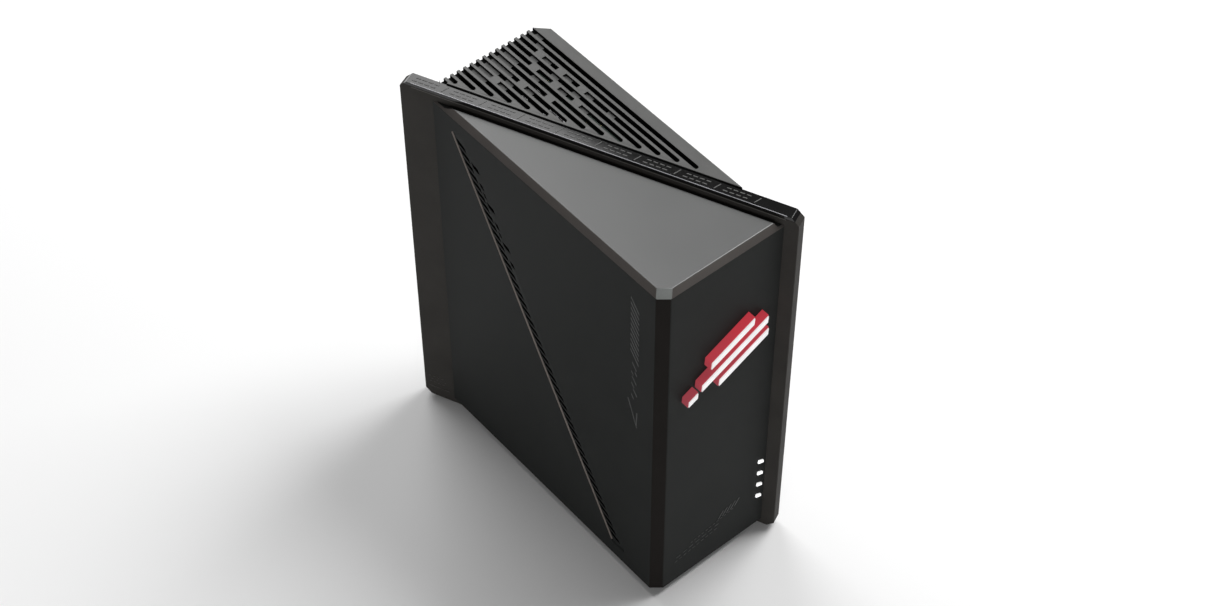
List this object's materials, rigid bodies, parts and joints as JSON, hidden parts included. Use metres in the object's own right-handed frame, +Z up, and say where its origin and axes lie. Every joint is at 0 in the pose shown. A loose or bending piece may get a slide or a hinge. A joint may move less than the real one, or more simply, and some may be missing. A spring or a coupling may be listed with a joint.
{
  "type": "wireless router",
  "caption": "Upright tower router: two wedge-shaped casings either side of a diagonal blade, slotted top and side vents, rear sockets, rocker switch and push buttons.",
  "frame": {"origin": "middle of the base rectangle, on the surface it stands on", "axes": "+Z up; -Y towards the lit front face; -X towards the large left face; +Y towards the rear sockets"},
  "size_m": [0.0782, 0.1682, 0.209],
  "materials": {
    "blade": "fine matte moulded finish",
    "gloss_trim": "piano black gloss with matte raised marks",
    "casing": "fine matte moulded finish",
    "casing_rear": "fine matte moulded finish",
    "grille": "satin moulded finish",
    "base": "plain moulded finish",
    "pads": "soft rubber",
    "screws": "zinc plated",
    "port_panel": "matte",
    "red_lens": "translucent red, lit from behind",
    "lit_caps": "white diffuser, lit from behind",
    "white_plastic": "matte white",
    "circuit_board": "solder resist",
    "leds": "clear resin over phosphor",
    "light_pipe": "clear, lit from behind",
    "chips": "moulded epoxy",
    "tin_plate": "tinned sheet",
    "thermal_pad": "soft filled silicone",
    "heatsink": "extruded, plain",
    "coil_cases": "pressed powder",
    "capacitor_cans": "drawn cans",
    "jack_shield": "plated sheet",
    "gold_contacts": "gold plated",
    "usb_tongue": "blue insulator",
    "black_plastic": "moulded",
    "pin_metal": "nickel plated",
    "rocker": "moulded",
    "buttons": "moulded",
    "antenna_plate": "printed copper on laminate",
    "lead_black": "thin coaxial sheath",
    "lead_red": "bundled wires"
  },
  "bodies": {
    "root": {"blade_frame": "blade", "blade_cap": "gloss_trim", "front_casing": "casing", "rear_casing": "casing_rear", "top_grille": "grille", "front_base_cover": "base", "rear_base_cover": "base", "rear_pads": "pads", "front_foot": "pads", "base_screws": "screws", "frame_screws": "screws", "port_panel": "port_panel", "emblem_lens": "red_lens", "emblem_caps": "lit_caps", "emblem_reflector": "white_plastic", "emblem_board": "circuit_board", "emblem_leds": "leds", "status_light_pipe": "light_pipe", "status_board": "circuit_board", "main_board": "circuit_board", "board_screws": "screws", "processor": "chips", "memory_chips": "chips", "network_chip": "chips", "radio_cans": "tin_plate", "thermal_pads": "thermal_pad", "finned_heatsink": "heatsink", "heat_spreader": "heatsink", "heatsink_screws": "screws", "network_transformers": "chips", "power_coils": "coil_cases", "capacitors": "capacitor_cans", "wan_jack": "jack_shield", "lan_jack_1": "jack_shield", "lan_jack_2": "jack_shield", "lan_jack_3": "jack_shield", "lan_jack_4": "jack_shield", "jack_contacts": "gold_contacts", "usb_jack": "jack_shield", "usb_tongue": "usb_tongue", "power_inlet": "black_plastic", "power_inlet_pin": "pin_metal", "power_switch_body": "black_plastic", "button_switches": "tin_plate", "lead_sockets": "gold_contacts", "antenna_upper": "antenna_plate", "antenna_lower": "antenna_plate", "antenna_front": "antenna_plate", "antenna_rear": "antenna_plate", "lead_upper": "lead_black", "lead_lower": "lead_black", "lead_front": "lead_black", "lead_rear": "lead_black", "lead_lights": "lead_red"},
    "power_rocker": {"power_rocker": "rocker"},
    "wps_button": {"wps_button": "buttons"},
    "led_button": {"led_button": "buttons"},
    "reset_button": {"reset_button": "buttons"}
  },
  "joints": [
    {"name": "power_rocker_tilt", "type": "hinge", "parent": "root", "child": "power_rocker", "pos_m": [0.00832, 0.06514, 0.024], "axis": [-1, 0, 0], "range_deg": [0, 16]},
    {"name": "wps_button_push", "type": "slide", "parent": "root", "child": "wps_button", "axis": [0, -1, 0], "range_m": [0, 0.0008], "stiffness_N_per_m": 600, "springref_m": -0.0006},
    {"name": "led_button_push", "type": "slide", "parent": "root", "child": "led_button", "axis": [0, -1, 0], "range_m": [0, 0.0008], "stiffness_N_per_m": 600, "springref_m": -0.0006},
    {"name": "reset_button_push", "type": "slide", "parent": "root", "child": "reset_button", "axis": [0, -1, 0], "range_m": [0, 0.0006], "stiffness_N_per_m": 600, "springref_m": -0.0006}
  ]
}
